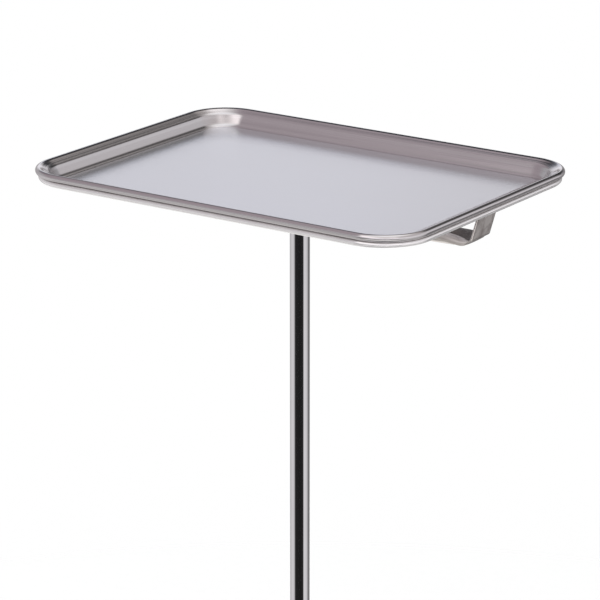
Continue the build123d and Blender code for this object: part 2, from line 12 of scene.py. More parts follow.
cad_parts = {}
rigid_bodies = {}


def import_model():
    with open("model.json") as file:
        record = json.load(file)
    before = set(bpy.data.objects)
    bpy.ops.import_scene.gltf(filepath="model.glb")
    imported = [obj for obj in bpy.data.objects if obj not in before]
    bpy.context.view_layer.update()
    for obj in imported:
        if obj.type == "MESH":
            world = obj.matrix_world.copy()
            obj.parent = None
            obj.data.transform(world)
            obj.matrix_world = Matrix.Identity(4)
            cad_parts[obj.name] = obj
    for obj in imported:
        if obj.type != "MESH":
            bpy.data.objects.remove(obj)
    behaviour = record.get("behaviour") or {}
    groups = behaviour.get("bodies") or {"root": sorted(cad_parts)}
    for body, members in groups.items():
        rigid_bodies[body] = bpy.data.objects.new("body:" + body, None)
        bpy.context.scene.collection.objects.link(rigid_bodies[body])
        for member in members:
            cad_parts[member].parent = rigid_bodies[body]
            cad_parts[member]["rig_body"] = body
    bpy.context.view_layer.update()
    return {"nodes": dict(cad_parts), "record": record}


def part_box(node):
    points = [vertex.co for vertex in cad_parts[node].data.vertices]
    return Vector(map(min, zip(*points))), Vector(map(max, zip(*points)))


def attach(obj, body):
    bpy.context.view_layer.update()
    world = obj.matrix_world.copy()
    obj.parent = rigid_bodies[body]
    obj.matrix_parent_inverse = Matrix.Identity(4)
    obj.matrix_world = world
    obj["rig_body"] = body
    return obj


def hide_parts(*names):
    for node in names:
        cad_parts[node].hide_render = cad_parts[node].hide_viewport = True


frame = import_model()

NODES = frame["nodes"]
TAU = 2 * math.pi


# ---------------------------------------------------------------------------
# places and sizes, read from the frame
# ---------------------------------------------------------------------------
def span(node):
    """Low corner, high corner, centre and size of a CAD node."""
    low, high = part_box(node)
    return low, high, (low + high) / 2, high - low


TRAY_LOW, TRAY_HIGH, TRAY_CENTRE, TRAY_SIZE = span("instrument_tray")
BEAD_R = 0.00425                      # outside radius of the curled rim
SHEET = 0.0009                        # tray sheet thickness
RIM_Z = TRAY_HIGH.z - BEAD_R          # centre line of the curl
FLOOR_Z = TRAY_LOW.z + SHEET          # top of the tray floor
TRAY_HALF_X = TRAY_SIZE.x / 2 - BEAD_R
TRAY_HALF_Y = TRAY_SIZE.y / 2 - BEAD_R
TRAY_CORNER_R = 0.0539

LOOP_CENTRE, LOOP_SIZE = span("tray_frame_loop")[2:]
ROD_R = LOOP_SIZE.z / 2
LOOP_HALF_X = LOOP_SIZE.x / 2 - ROD_R
LOOP_HALF_Y = LOOP_SIZE.y / 2 - ROD_R
LOOP_CORNER_R = 0.0584
ROD_SEGMENTS = 48

# steps round the rounded rectangles of the tray and the loop
CORNER_STEPS = 40
SIDE_X_STEPS = 60
SIDE_Y_STEPS = 44

POST_LOW, POST_HIGH, _, POST_SIZE = span("inner_post")
TUBE_WALL = 0.0015                    # post and column
TUBE_CHAMFER = 0.0002
TUBE_SEGMENTS = 160
GROOVE_LOW, GROOVE_HIGH = 0.0306, 0.0322   # above the post's lower end
GROOVE_DEPTH = 0.0004
HOLE_R = 0.00425                      # hole in the -Y wall of the column


# ---------------------------------------------------------------------------
# mesh helpers
# ---------------------------------------------------------------------------
def new_object(name, verts, faces, material=None, uvs=None, sharp=None):
    """Smooth-shaded mesh object; edges steeper than `sharp` degrees stay crisp."""
    mesh = bpy.data.meshes.new(name)
    mesh.from_pydata([tuple(map(float, v)) for v in verts], [],
                     [tuple(map(int, f)) for f in faces])
    mesh.validate(clean_customdata=False)
    if uvs is not None:
        layer = mesh.uv_layers.new(name="grain")
        layer.data.foreach_set("uv", np.asarray(uvs, np.float32).ravel())
    mesh.shade_smooth()
    if sharp is not None:
        mesh.set_sharp_from_angle(angle=math.radians(sharp))
    mesh.update()
    ob = bpy.data.objects.new(name, mesh)
    bpy.context.scene.collection.objects.link(ob)
    if material is not None:
        mesh.materials.append(material)
    return ob


def solid_object(*args, **options):
    """new_object with its face normals turned outward."""
    ob = new_object(*args, **options)
    bm = bmesh.new()
    bm.from_mesh(ob.data)
    bmesh.ops.recalc_face_normals(bm, faces=bm.faces)
    bm.to_mesh(ob.data)
    bm.free()
    return ob


def stand_for(ob, node):
    """ob rides on the body of a CAD node and stands for it."""
    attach(ob, NODES[node]["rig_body"])
    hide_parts(node)


def running_length(points):
    """Distance along a line of points, from 0 at the first."""
    steps = np.linalg.norm(np.diff(np.array(points), axis=0), axis=1)
    return np.concatenate([[0], np.cumsum(steps)])


def grid(count, size, along, across):
    """Quads and UVs over `count` sections of `size` points each.

    along and across hold the UV values; one value more than there are sections
    or points closes that direction.
    """
    faces, uvs = [], []
    for j in range(len(along) - 1):
        here, after = j * size, (j + 1) % count * size
        for i in range(len(across) - 1):
            k = (i + 1) % size
            faces.append((here + i, after + i, after + k, here + k))
            uvs += [(along[j], across[i]), (along[j + 1], across[i]),
                    (along[j + 1], across[i + 1]), (along[j], across[i + 1])]
    return faces, uvs


def rounded_path(half_x, half_y, radius):
    """Points and outward normals round a rounded rectangle, anticlockwise from (half_x, 0)."""
    corner_x, corner_y = half_x - radius, half_y - radius
    points, normals = [], []

    def side(start, end, normal, count):
        for i in range(count):
            share = i / count
            points.append([a + (b - a) * share for a, b in zip(start, end)])
            normals.append(normal)

    def turn(x, y, quarter):
        for i in range(CORNER_STEPS):
            angle = (quarter + i / CORNER_STEPS) * math.pi / 2
            normal = (math.cos(angle), math.sin(angle))
            points.append((x + radius * normal[0], y + radius * normal[1]))
            normals.append(normal)

    side((half_x, 0), (half_x, corner_y), (1, 0), SIDE_Y_STEPS // 2)
    turn(corner_x, corner_y, 0)
    side((corner_x, half_y), (-corner_x, half_y), (0, 1), SIDE_X_STEPS)
    turn(-corner_x, corner_y, 1)
    side((-half_x, corner_y), (-half_x, -corner_y), (-1, 0), SIDE_Y_STEPS)
    turn(-corner_x, -corner_y, 2)
    side((-corner_x, -half_y), (corner_x, -half_y), (0, -1), SIDE_X_STEPS)
    turn(corner_x, -corner_y, 3)
    side((half_x, -corner_y), (half_x, 0), (1, 0), SIDE_Y_STEPS // 2)
    return np.array(points), np.array(normals, float)


def sweep(path, section, across):
    """Carry a section of (distance outward, height) points round a closed path."""
    points, normals = path
    verts = np.zeros((len(points), len(section), 3))
    for i, (outward, z) in enumerate(section):
        verts[:, i, :2] = points + normals * outward
        verts[:, i, 2] = z
    along = running_length(np.vstack([points, points[:1]]))
    return verts.reshape(-1, 3), *grid(len(points), len(section), along, across)


def lathe(name, profile, material, segments, sharp, closed=True,
          place=lambda x, y, z: (x, y, z)):
    """Turn (radius, height) points about Z; a closed profile makes a ring."""
    verts = []
    for j in range(segments):
        angle = TAU * j / segments
        verts += [place(r * math.cos(angle), r * math.sin(angle), h) for r, h in profile]
    widest = max(r for r, _ in profile)
    along = [TAU * widest * j / segments for j in range(segments + 1)]
    across = running_length(profile + profile[:1] if closed else profile)
    faces, uvs = grid(segments, len(profile), along, across)
    return solid_object(name, verts, faces, material, uvs, sharp)


# ---------------------------------------------------------------------------
# shader graph helpers
# ---------------------------------------------------------------------------
class Graph:
    """Short calls for building a node tree."""

    def __init__(self, owner):
        owner.use_nodes = True
        self.tree = owner.node_tree
        self.tree.nodes.clear()

    def node(self, kind, **settings):
        node = self.tree.nodes.new(kind)
        for key, value in settings.items():
            setattr(node, key, value)
        return node

    def feed(self, socket, value):
        """Link a socket, or set a number or an RGB colour."""
        if isinstance(value, bpy.types.NodeSocket):
            self.tree.links.new(value, socket)
        else:
            socket.default_value = (*value, 1.0) if isinstance(value, tuple) else value

    def coord(self, which="Object"):
        return self.node("ShaderNodeTexCoord").outputs[which]

    def math(self, operation, *values, clamp=False):
        node = self.node("ShaderNodeMath", operation=operation, use_clamp=clamp)
        for socket, value in zip(node.inputs, values):
            self.feed(socket, value)
        return node.outputs[0]

    def remap(self, value, source, target=(0.0, 1.0), smooth=False):
        """Carry the range `source` onto the range `target`."""
        node = self.node("ShaderNodeMapRange",
                         interpolation_type="SMOOTHSTEP" if smooth else "LINEAR")
        self.feed(node.inputs["Value"], value)
        for key, number in zip(("From Min", "From Max", "To Min", "To Max"), source + target):
            node.inputs[key].default_value = number
        return node.outputs[0]

    def mix(self, factor, low, high):
        """Colour `low` at factor 0, `high` at factor 1."""
        node = self.node("ShaderNodeMix", data_type="RGBA")
        self.feed(node.inputs["Factor"], factor)
        self.feed(node.inputs[6], low)
        self.feed(node.inputs[7], high)
        return node.outputs[2]

    def mix_shader(self, factor, low, high):
        node = self.node("ShaderNodeMixShader")
        for socket, value in zip(node.inputs, (factor, low, high)):
            self.feed(socket, value)
        return node.outputs[0]


class Material(Graph):
    """A material with one Principled shader."""

    def __init__(self, name):
        self.material = bpy.data.materials.new(name)
        super().__init__(self.material)
        self.output = self.node("ShaderNodeOutputMaterial").inputs[0]
        self.bsdf = self.node("ShaderNodeBsdfPrincipled")
        self.feed(self.output, self.bsdf.outputs[0])

    def set(self, **values):
        """Feed Principled inputs: base_color is "Base Color" and so on."""
        for key, value in values.items():
            self.feed(self.bsdf.inputs[key.replace("_", " ").title()], value)

    def math(self, operation, first, second=0.0, clamp=False):
        return super().math(operation, first, second, 0.0, clamp=clamp)

    def add(self, first, second, clamp=False):
        return self.math("ADD", first, second, clamp)

    def subtract(self, first, second):
        return self.math("SUBTRACT", first, second)

    def multiply(self, first, second):
        return self.math("MULTIPLY", first, second)

    def noise(self, source, scale, detail, rough, distort=0.0,
              stretch=(1, 1, 1), shift=(0, 0, 0), turn=(0, 0, 0)):
        """Noise over mapped coordinates."""
        mapping = self.node("ShaderNodeMapping")
        self.feed(mapping.inputs["Vector"], source)
        mapping.inputs["Scale"].default_value = stretch
        mapping.inputs["Location"].default_value = shift
        mapping.inputs["Rotation"].default_value = turn
        node = self.node("ShaderNodeTexNoise")
        for key, value in (("Vector", mapping.outputs[0]), ("Scale", scale), ("Detail", detail),
                           ("Roughness", rough), ("Distortion", distort)):
            self.feed(node.inputs[key], value)
        return node.outputs["Fac"]

    def bump(self, height, strength, distance, under=None):
        """Bump of `distance` metres, laid over the normal `under` if there is one."""
        node = self.node("ShaderNodeBump")
        node.inputs["Strength"].default_value = strength
        node.inputs["Distance"].default_value = distance
        self.feed(node.inputs["Height"], height)
        if under is not None:
            self.feed(node.inputs["Normal"], under)
        return node.outputs[0]

    def uv(self):
        return self.node("ShaderNodeUVMap", uv_map="grain").outputs[0]

    def axis(self, vector, name):
        node = self.node("ShaderNodeSeparateXYZ")
        self.feed(node.inputs[0], vector)
        return node.outputs[name]

    def geometry(self, which):
        return self.node("ShaderNodeNewGeometry").outputs[which]

    def worn_edges(self, color, worn, amount, pointiness=(0.52, 0.60)):
        mask = self.remap(self.geometry("Pointiness"), pointiness, (0.0, amount), smooth=True)
        return self.mix(mask, color, worn)

    def shade_upward_faces(self, color, top_shade, slopes, cloud, least):
        """Painted shade: darken the faces whose normal Z is past `slopes`, at least by the share
        `least`.
        """
        up = self.axis(self.geometry("True Normal"), "Z")
        mask = self.multiply(self.remap(up, slopes, smooth=True),
                             self.remap(cloud, (0.25, 0.6), (least, 1.0)))
        return self.mix(mask, color, top_shade)


def scaled(color, factor, lift=0.0):
    return tuple(min(1.0, channel * factor + lift) for channel in color)


# ---------------------------------------------------------------------------
# materials
# ---------------------------------------------------------------------------
def brushed(name, bright, dark, rough, grain, bump, spread=0.08, on_uv=False,
            mottle=0.0, mottle_scale=85.0, edge=0.0, aniso=0.0, top_shade=None):
    """Brushed steel: streaks run along the axis with the smallest grain scale.

    spread varies the roughness, mottle blends in spots and edge brightens worn edges.
    """
    m = Material(name)
    source = m.uv() if on_uv else m.coord()
    fine = m.noise(source, scale=1.0, detail=5.0, rough=0.62, stretch=grain)
    broad = (grain[0] * 0.35, grain[1] * 0.22, grain[2] * 0.22)
    coarse = m.noise(source, scale=1.0, detail=3.0, rough=0.55, stretch=broad,
                     shift=(3.1, 7.7, 1.3))
    place = m.coord()
    patch = m.noise(place, scale=9.0, detail=4.0, rough=0.55, distort=0.3)
    streaks = m.add(m.multiply(fine, 0.6), m.multiply(coarse, 0.4))
    tone = m.remap(streaks, (0.32, 0.68))
    if mottle:
        spots = m.noise(place, scale=mottle_scale, detail=4.0, rough=0.6, distort=0.6,
                        shift=(0.3, 0.2, 0.9))
        # marks gather on the arm's flattened ends; the tube between them is plain
        ends = m.remap(m.math("ABSOLUTE", m.axis(place, "X")), (0.226, 0.246), (0.12, 1.0),
                       smooth=True)
        share = m.multiply(ends, mottle)
        tone = m.add(m.multiply(tone, m.subtract(1.0, share)),
                     m.multiply(m.remap(spots, (0.40, 0.60)), share), clamp=True)
    color = m.mix(tone, dark, bright)
    if edge:
        color = m.worn_edges(color, scaled(bright, 1.18), edge)
    # painted shade: the upward faces are darkened toward the given shade colour
    if top_shade:
        color = m.shade_upward_faces(color, top_shade, (0.55, 0.90), patch, least=0.8)
    roughness = m.add(rough, m.multiply(m.subtract(streaks, 0.5), spread * 2))
    roughness = m.add(roughness, m.multiply(m.subtract(patch, 0.5), spread))
    m.set(base_color=color, metallic=1.0, roughness=roughness,
          normal=m.bump(streaks, strength=bump, distance=0.00012))
    if aniso:
        tangent = m.node("ShaderNodeTangent", direction_type="UV_MAP", uv_map="grain")
        m.set(anisotropic=aniso, tangent=tangent.outputs[0])
    return m.material


def polished(name, color, rough, smear, drawn, metal=1.0, top_shade=None):
    """Polished steel with light smears and faint drawing lines; drawn is the line scale."""
    m = Material(name)
    place = m.coord()
    smears = m.noise(place, scale=22.0, detail=5.0, rough=0.6, distort=1.2,
                     stretch=(1, 1, 0.35))
    dots = m.noise(place, scale=420.0, detail=2.0, rough=0.5, shift=(0.2, 0.5, 0.1))
    roughness = m.add(rough, m.multiply(m.remap(smears, (0.45, 0.75), smooth=True),
                                        0.06 * smear))
    tint = m.mix(m.remap(smears, (0.35, 0.75)), color, scaled(color, 0.94))
    # painted shade: the upward faces are darkened toward the given shade colour
    if top_shade:
        tint = m.shade_upward_faces(tint, top_shade, (0.50, 0.85), smears, least=0.7)
    height = m.multiply(dots, 0.25)
    lines = m.noise(m.uv(), scale=1.0, detail=4.0, rough=0.6, stretch=drawn)
    height = m.add(height, lines)
    roughness = m.add(roughness, m.multiply(m.remap(lines, (0.45, 0.7)), 0.03))
    m.set(base_color=tint, metallic=metal, roughness=roughness,
          normal=m.bump(height, strength=0.05, distance=0.00005))
    return m.material


def plated(name, color, rough):
    """Plated metal: slightly cloudy, with brighter worn edges."""
    m = Material(name)
    place = m.coord()
    cloud = m.noise(place, scale=90.0, detail=5.0, rough=0.6, distort=0.4)
    grain = m.noise(place, scale=900.0, detail=2.0, rough=0.5)
    tint = m.mix(m.remap(cloud, (0.3, 0.7)), scaled(color, 0.82), color)
    tint = m.worn_edges(tint, scaled(color, 1.25), 0.6)
    m.set(base_color=tint, metallic=1.0,
          roughness=m.add(rough - 0.06, m.multiply(cloud, 0.16)),
          normal=m.bump(grain, strength=0.12, distance=0.00008))
    return m.material


def moulded(name, color, rough, grain=1400.0, bump=0.25):
    """Plastic, rubber or paint: fine texture, uneven gloss, rubbed edges."""
    m = Material(name)
    place = m.coord()
    texture = m.noise(place, scale=grain, detail=3.0, rough=0.6)
    cloud = m.noise(place, scale=60.0, detail=4.0, rough=0.55, distort=0.3,
                    shift=(0.4, 0.1, 0.2))
    tint = m.mix(m.remap(cloud, (0.3, 0.7)), scaled(color, 0.85), scaled(color, 1.12))
    tint = m.worn_edges(tint, scaled(color, 1.6, lift=0.02), 0.55, pointiness=(0.53, 0.62))
    m.set(base_color=tint, metallic=0.0,
          roughness=m.add(rough - 0.06, m.multiply(cloud, 0.14)),
          normal=m.bump(texture, strength=bump, distance=0.00012))
    return m.material


def tray_finish():
    """Pressed sheet: satin floor, walls streaked along the rim, smoother curled rim."""
    m = Material("tray_steel")
    uv, place = m.uv(), m.coord()
    z = m.axis(place, "Z")
    floor = m.remap(z, (FLOOR_Z + 0.00002, FLOOR_Z + 0.00018), (1.0, 0.0), smooth=True)
    rim = m.remap(z, (RIM_Z + 0.0005, RIM_Z + 0.0030), smooth=True)
    fine = m.noise(uv, scale=1.0, detail=5.0, rough=0.62, stretch=(5.0, 1700.0, 1.0))
    band = m.noise(uv, scale=1.0, detail=3.0, rough=0.55, stretch=(1.6, 420.0, 1.0),
                   shift=(2.3, 5.1, 0))
    streak = m.remap(m.add(m.multiply(fine, 0.5), m.multiply(band, 0.5)), (0.36, 0.64))
    cloud = m.noise(place, scale=6.5, detail=3.0, rough=0.5, distort=0.2, shift=(0.2, 0.1, 0))
    hair = m.noise(place, scale=1.0, detail=2.0, rough=0.5, stretch=(14.0, 1500.0, 1.0),
                   turn=(0, 0, 0.02))

    wall_color = m.mix(streak, (0.66, 0.645, 0.66), (0.77, 0.75, 0.765))
    floor_color = m.mix(m.remap(cloud, (0.3, 0.7)), (0.715, 0.712, 0.752),
                        (0.735, 0.732, 0.768))
    color = m.mix(floor, wall_color, floor_color)

    wall_rough = m.add(0.17, m.multiply(streak, 0.05))
    rim_rough = m.add(wall_rough, m.multiply(rim, -0.10))
    floor_rough = m.add(0.215, m.multiply(m.add(cloud, m.multiply(hair, 0.5)), 0.03))
    roughness = m.add(m.multiply(floor, floor_rough),
                      m.multiply(m.subtract(1.0, floor), rim_rough))
    metal = m.subtract(1.0, m.multiply(floor, 0.13))

    # three layers of relief: drawn lines, slow unevenness, bands along the curl
    lines = m.multiply(fine, m.subtract(1.0, m.multiply(floor, 0.92)))
    normal = m.bump(lines, strength=0.16, distance=0.00010)
    slow = m.noise(uv, scale=1.0, detail=1.5, rough=0.4, stretch=(11.0, 60.0, 1.0),
                   shift=(4, 1, 0))
    normal = m.bump(slow, strength=0.10, distance=0.0012, under=normal)
    curl = m.multiply(
        m.remap(z, (RIM_Z - 0.0052, RIM_Z - 0.0030), smooth=True),
        m.remap(z, (RIM_Z + 0.0032, RIM_Z + 0.0042), (1.0, 0.0), smooth=True))
    rolled = m.noise(uv, scale=1.0, detail=1.0, rough=0.4, stretch=(0.7, 330.0, 1.0),
                     shift=(7, 2, 0))
    normal = m.bump(m.multiply(rolled, curl), strength=0.5, distance=0.0006, under=normal)
    m.set(base_color=color, metallic=metal, roughness=roughness, normal=normal)
    return m.material


STEEL, STEEL_SHADE = (0.70, 0.69, 0.70), (0.60, 0.59, 0.60)
SATIN = dict(bright=STEEL, dark=STEEL_SHADE, rough=0.25, bump=0.09, spread=0.06, edge=0.25)

MATERIALS = {
    "tray_steel": tray_finish(),
    # the rod's upper faces carry painted shade, for the shade under the tray's curled rim
    "polished_rod": polished(
        "polished_rod", (0.93, 0.915, 0.925), rough=0.085, smear=0.6,
        drawn=(8.0, 900.0, 1.0), metal=0.72, top_shade=(0.50, 0.47, 0.46)),
    # the arm's upper faces carry painted shade, for the shade cast by the tray above them
    "brushed_arm": brushed(
        "brushed_arm", (0.92, 0.88, 0.86), (0.40, 0.36, 0.345), rough=0.20,
        grain=(25.0, 700.0, 700.0), bump=0.35, spread=0.12, on_uv=True, mottle=0.55,
        mottle_scale=52.0, edge=0.5, aniso=0.4, top_shade=(0.085, 0.068, 0.062)),
    "weld_metal": brushed(
        "weld_metal", (0.58, 0.56, 0.54), (0.36, 0.33, 0.31), rough=0.32,
        grain=(400.0, 400.0, 400.0), bump=0.6, mottle=0.5),
    "brushed_steel": brushed("brushed_steel", grain=(4.0, 700.0, 700.0), **SATIN),
    "turned_steel": brushed(
        "turned_steel", STEEL, (0.58, 0.57, 0.58), rough=0.23,
        grain=(18.0, 18.0, 1100.0), bump=0.10, spread=0.06),
    "brushed_foot": brushed("brushed_foot", grain=(700.0, 4.0, 700.0), **SATIN),
    "brushed_tube": brushed(
        "brushed_tube", STEEL, STEEL_SHADE, rough=0.24,
        grain=(900.0, 2.5, 2.5), bump=0.10, spread=0.06, on_uv=True),
    "polished_post": polished(
        "polished_post", (0.80, 0.80, 0.82), rough=0.03, smear=0.35, drawn=(900.0, 3.0, 1.0)),
    "zinc_steel": plated("zinc_steel", (0.66, 0.67, 0.69), rough=0.24),
    "black_steel": moulded("black_steel", (0.035, 0.035, 0.04), rough=0.35, grain=900.0),
    "black_plastic": moulded("black_plastic", (0.022, 0.022, 0.024), rough=0.42),
    "nylon": moulded("nylon", (0.80, 0.79, 0.73), rough=0.38, bump=0.1),
    "brass_pad": plated("brass_pad", (0.78, 0.60, 0.30), rough=0.25),
    "buffer_rubber": moulded("buffer_rubber", (0.03, 0.03, 0.03), rough=0.62, bump=0.3),
    "grey_plastic": moulded("grey_plastic", (0.20, 0.21, 0.22), rough=0.42),
    "grey_tyre": moulded("grey_tyre", (0.10, 0.10, 0.105), rough=0.55, grain=1100.0, bump=0.35),
}

# turned pieces, and the two feet, whose brushing runs along them
FINISHES = {
    "column_collar": "turned_steel", "column_flange": "turned_steel",
    "arm_saddle": "turned_steel",
    "foot_tube_left": "brushed_foot", "foot_tube_right": "brushed_foot",
}


def dress_cad_pieces():
    for part in frame["record"]["subparts"]:
        name = part["node"]
        mesh = NODES[name].data
        mesh.materials.clear()
        mesh.materials.append(MATERIALS[FINISHES.get(name, part["material_slot"])])
        mesh.shade_smooth()
        mesh.set_sharp_from_angle(angle=math.radians(28))


dress_cad_pieces()


# ---------------------------------------------------------------------------
# tray: one pressed sheet with a curled rim, both skins modelled
# ---------------------------------------------------------------------------
WALL_LEAN = 30.0                # degrees from upright
LIP_FALL = 22.0                 # degrees from level, inward of the curl
FILLET_R = 0.0086               # floor to wall, upper skin
SHOULDER_R = 0.006              # wall to lip, upper skin
CURL_END = -170                 # degrees round the bead
WALL_MEETS_LIP = (-0.0125, -0.00047)     # from the bead's centre line
FLOOR_INSETS = (0.012, 0.008, 0.005, 0.003, 0.0015, 0.0007)   # floor points, from the fillet
# steps round the fillet, shoulder and bead, and points on the wall and lip
UPPER_STEPS = dict(fillet=22, wall=8, shoulder=14, lip=6, bead=60)
LOWER_STEPS = dict(fillet=16, wall=5, shoulder=10, lip=4, bead=34)


def arc_points(centre, radius, start, end, steps):
    angles = np.radians(np.linspace(start, end, steps + 1))
    return [(centre[0] + radius * math.cos(a), centre[1] + radius * math.sin(a))
            for a in angles]


def points_between(start, end, count):
    start, end = np.array(start), np.array(end)
    return [tuple(start * (1 - f) + end * f) for f in np.linspace(0, 1, count + 2)[1:-1]]


def tray_skin(depth, steps):
    """(distance outward from the bead's centre line, height) points, floor to curl end.

    depth is how far the skin lies below the upper one.
    """
    floor_z = FLOOR_Z - RIM_Z
    wall_angle, lip_angle = 180 - WALL_LEAN, 90 + LIP_FALL
    wall_normal, lip_normal = (
        np.array((math.cos(math.radians(a)), math.sin(math.radians(a))))
        for a in (wall_angle, lip_angle))
    meet = np.array(WALL_MEETS_LIP)
    shoulder_centre = meet - (SHOULDER_R * (wall_normal + lip_normal)
                              / (1 + wall_normal @ lip_normal))
    wall_foot = meet[0] - (meet[1] - floor_z) * math.tan(math.radians(WALL_LEAN))
    fillet_x = wall_foot - FILLET_R * math.tan(math.radians(45 - WALL_LEAN / 2))

    floor = [(fillet_x - inset, floor_z - depth) for inset in FLOOR_INSETS]
    fillet = arc_points((fillet_x, floor_z + FILLET_R), FILLET_R + depth, -90, -WALL_LEAN,
                        steps["fillet"])
    shoulder = arc_points(shoulder_centre, SHOULDER_R - depth, wall_angle, lip_angle,
                          steps["shoulder"])
    bead = arc_points((0, 0), BEAD_R - depth, lip_angle, CURL_END, steps["bead"])
    wall = points_between(fillet[-1], shoulder[0], steps["wall"])
    lip = points_between(shoulder[-1], bead[0], steps["lip"])
    return floor + fillet + wall + shoulder + lip + bead


def build_tray():
    profile = tray_skin(0.0, UPPER_STEPS) + tray_skin(SHEET, LOWER_STEPS)[::-1]
    size = len(profile)
    verts, faces, uvs = sweep(
        rounded_path(TRAY_HALF_X, TRAY_HALF_Y, TRAY_CORNER_R),
        [(outward, RIM_Z + z) for outward, z in profile], running_length(profile))
    # each skin of the floor is one flat face, joined to the ring
    upper_floor = list(range(0, len(verts), size))
    lower_floor = list(range(size - 1, len(verts), size))[::-1]
    for loop in (upper_floor, lower_floor):
        faces.append(tuple(loop))
        uvs += [(verts[v][0] + 1.0, verts[v][1] + 1.0) for v in loop]
    return solid_object("instrument_tray_shell", verts, faces, MATERIALS["tray_steel"], uvs)


stand_for(build_tray(), "instrument_tray")


# ---------------------------------------------------------------------------
# rod loop round the tray
# ---------------------------------------------------------------------------
def build_loop():
    angles = [TAU * i / ROD_SEGMENTS for i in range(ROD_SEGMENTS + 1)]
    section = [(ROD_R * math.cos(a), LOOP_CENTRE.z + ROD_R * math.sin(a)) for a in angles[:-1]]
    verts, faces, uvs = sweep(rounded_path(LOOP_HALF_X, LOOP_HALF_Y, LOOP_CORNER_R),
                              section, [ROD_R * a for a in angles])
    return solid_object("tray_frame_rod", verts, faces, MATERIALS["polished_rod"], uvs)


stand_for(build_loop(), "tray_frame_loop")


# ---------------------------------------------------------------------------
# cross arm: round tube, pressed flat toward both ends, flat ends bent up to the rod
# This section works in millimetres, with heights from the rim plane.
# ---------------------------------------------------------------------------
# x, half width, top, bottom, middle, flatness (0 round, 1 flat)
ARM_STATIONS = [
    (188.0, 12.0, -32.5, -56.5, -44.5, 0.00),
    (200.0, 12.3, -33.2, -56.2, -44.4, 0.06),
    (212.0, 13.4, -34.9, -55.6, -44.1, 0.22),
    (223.0, 15.3, -37.1, -54.4, -43.7, 0.45),
    (232.0, 17.2, -39.0, -52.8, -43.3, 0.68),
    (239.0, 18.8, -40.2, -50.3, -42.8, 0.86),
    (243.5, 19.8, -40.8, -47.4, -42.5, 0.96),
    (246.0, 20.2, -40.9, -43.9, -42.4, 1.00),
]
ROUND_END = ARM_STATIONS[0][0]       # x where pressing starts
FLAT_START = ARM_STATIONS[-1][0]     # x where the arm is fully flat
STRAP_Z = ARM_STATIONS[-1][4]
STRAP_T = 3.0                        # thickness of the flattened end
ARM_WALL = 1.5
BORE_REACH = 226.0                   # x where the hollow ends
ROUND_STEPS, PRESSED_RINGS = 11, 40
FACE_STEPS, EDGE_STEPS = 20, 14      # top and bottom arcs, side arcs
BEND_R = 4.0                         # middle of the strap, flat to leg
LEG_SLOPE = 0.295                    # outward run per rise
LEG_X, LEG_X_Z = 260.22, -11.0       # a point on the leg's outer face
LEG_TOP = -5.8
TIP_HEIGHT = 0.35                    # the tip narrows over this height
TIP_THICKNESS = 0.76                 # share of the strap thickness left at the tip
TIP_NARROWING = 1.2                  # scale of the narrowing in width
BEND_STEPS, LEG_STEPS = 14, 13


def arc_through(start, middle, end, steps):
    """Points from start on the circle through all three, without end."""
    start, middle, end = (np.array(v, float) for v in (start, middle, end))
    centre = np.linalg.solve(
        np.array([middle - start, end - start]),
        np.array([(middle @ middle - start @ start) / 2, (end @ end - start @ start) / 2]))
    radius = np.linalg.norm(start - centre)
    first, halfway, last = (math.atan2(*(v - centre)[::-1]) for v in (start, middle, end))
    turn = (last - first) % TAU
    if (halfway - first) % TAU > turn:
        turn -= TAU
    angles = [first + turn * i / steps for i in range(steps)]
    return [centre + radius * np.array((math.cos(a), math.sin(a))) for a in angles]


def arm_section(half_width, top, bottom, middle, flatness, inset=0.0):
    """(y, height from the section's middle) points of one section across the arm."""
    half_width -= inset
    rise, drop = top - inset - middle, middle - bottom - inset
    corner_y = ((1 - flatness) * math.sqrt(3) / 2 * half_width
                + flatness * (half_width - STRAP_T / 2 * 0.9))
    corner_share = (1 - flatness) * 0.5 + flatness * 0.97
    high, low = rise * corner_share, -drop * corner_share
    return (arc_through((corner_y, high), (0, rise), (-corner_y, high), FACE_STEPS)
            + arc_through((-corner_y, high), (-half_width, 0), (-corner_y, low), EDGE_STEPS)
            + arc_through((-corner_y, low), (0, -drop), (corner_y, low), FACE_STEPS)
            + arc_through((corner_y, low), (half_width, 0), (corner_y, high), EDGE_STEPS))


def monotone(xs, ys, x):
    """Cubic through the points without overshoot."""
    xs, ys = np.array(xs, float), np.array(ys, float)
    gaps = np.diff(xs)
    slopes = np.diff(ys) / gaps
    inner = [0.0 if a * b <= 0 else 2 * a * b / (a + b) for a, b in zip(slopes, slopes[1:])]
    tangents = [0.0, *inner, slopes[-1]]
    i = min(max(int(np.searchsorted(xs, x) - 1), 0), len(gaps) - 1)
    t = (x - xs[i]) / gaps[i]
    return ((1 + 2 * t) * (1 - t) ** 2 * ys[i] + t * (1 - t) ** 2 * gaps[i] * tangents[i]
            + t * t * (3 - 2 * t) * ys[i + 1] + t * t * (t - 1) * gaps[i] * tangents[i + 1])


def half_tube(inset, reach):
    """Rings from the arm's middle to x = reach, and their distances along the arm."""
    xs, *columns = zip(*ARM_STATIONS)
    run = [*np.linspace(0, ROUND_END, ROUND_STEPS + 1)[:-1],
           *np.linspace(ROUND_END, reach, PRESSED_RINGS)]
    rings = []
    for x in run:
        station = [monotone(xs, column, max(x, ROUND_END)) for column in columns]
        middle = station[3]
        rings.append([(x, y, middle + z) for y, z in arm_section(*station, inset)])
    return rings, run


